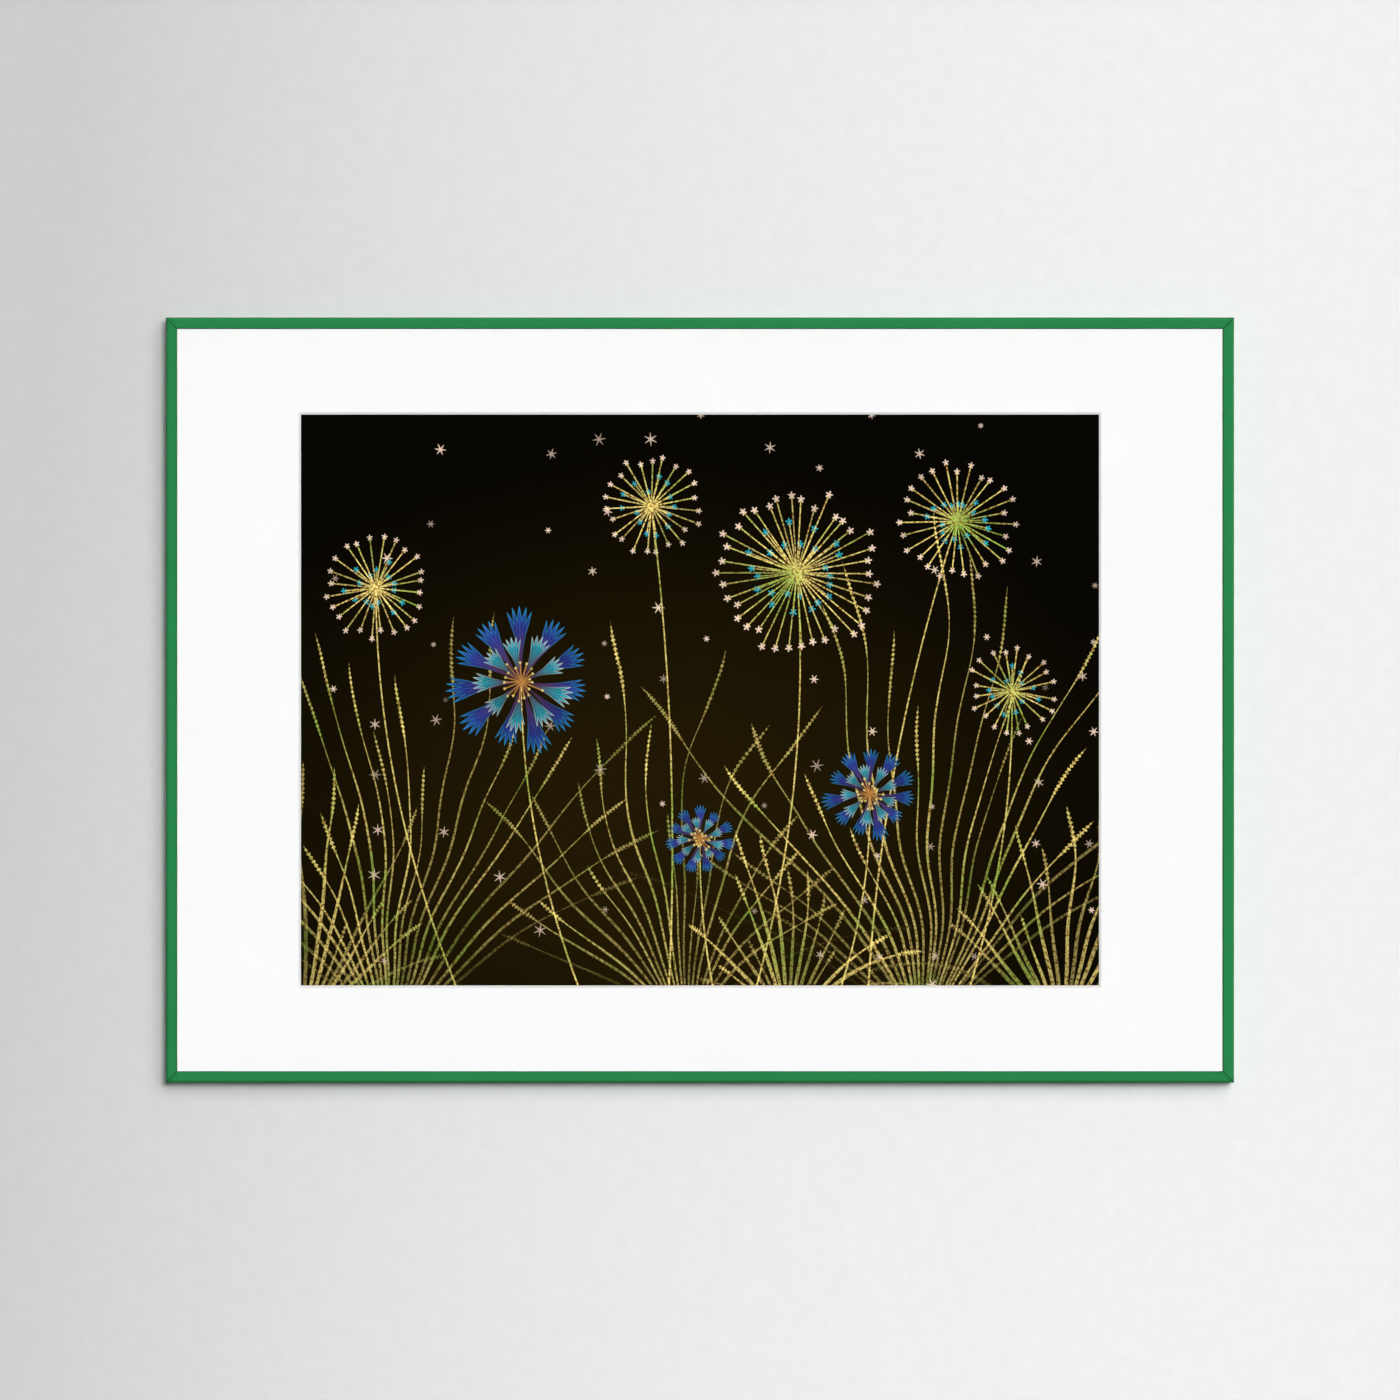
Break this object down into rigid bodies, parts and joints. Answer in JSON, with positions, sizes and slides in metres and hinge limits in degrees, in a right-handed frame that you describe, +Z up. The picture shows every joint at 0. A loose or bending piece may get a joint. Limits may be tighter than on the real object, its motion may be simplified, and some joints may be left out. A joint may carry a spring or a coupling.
{
  "type": "framed picture",
  "caption": "Slim green metal frame in landscape with glazing, a wide white window mat and a dark print, hung from a toothed hanger at the back.",
  "frame": {"origin": "the hanger's middle notch, where a nail carries the picture, on the plane that the hanger and the bumpers' faces lie in", "axes": "+X to the viewer's right along the picture's long side, +Y from the front to the back, +Z up"},
  "size_m": [0.705, 0.0235, 0.505],
  "materials": {
    "frame_coat": "satin green coating",
    "glazing": "clear",
    "mat": "matte white",
    "print": "satin near-black ground with gold-green line work",
    "backing": "matte brown hardboard",
    "fittings": "zinc plated",
    "screws": "satin",
    "springs": "satin",
    "bumpers": "matte black"
  },
  "bodies": {
    "root": {"rail_top": "frame_coat", "rail_right": "frame_coat", "rail_bottom": "frame_coat", "rail_left": "frame_coat", "glazing": "glazing", "mat_board": "mat", "print_sheet": "print", "backing_board": "backing", "corner_angle_bottom_left": "fittings", "corner_angle_bottom_right": "fittings", "corner_angle_top_left": "fittings", "corner_angle_top_right": "fittings", "corner_shim_bottom_left": "fittings", "corner_shim_bottom_right": "fittings", "corner_shim_top_left": "fittings", "corner_shim_top_right": "fittings", "set_screw_bottom_left_1": "screws", "set_screw_bottom_left_2": "screws", "set_screw_bottom_right_1": "screws", "set_screw_bottom_right_2": "screws", "set_screw_top_left_1": "screws", "set_screw_top_left_2": "screws", "set_screw_top_right_1": "screws", "set_screw_top_right_2": "screws", "spring_top_1": "springs", "spring_top_2": "springs", "spring_top_3": "springs", "spring_right_1": "springs", "spring_right_2": "springs", "spring_bottom_1": "springs", "spring_bottom_2": "springs", "spring_bottom_3": "springs", "spring_left_1": "springs", "spring_left_2": "springs", "hanger": "fittings", "hanger_nut_plate": "fittings", "hanger_screw_left": "screws", "hanger_screw_right": "screws", "rear_bumper_left": "bumpers", "rear_bumper_right": "bumpers"}
  },
  "joints": []
}
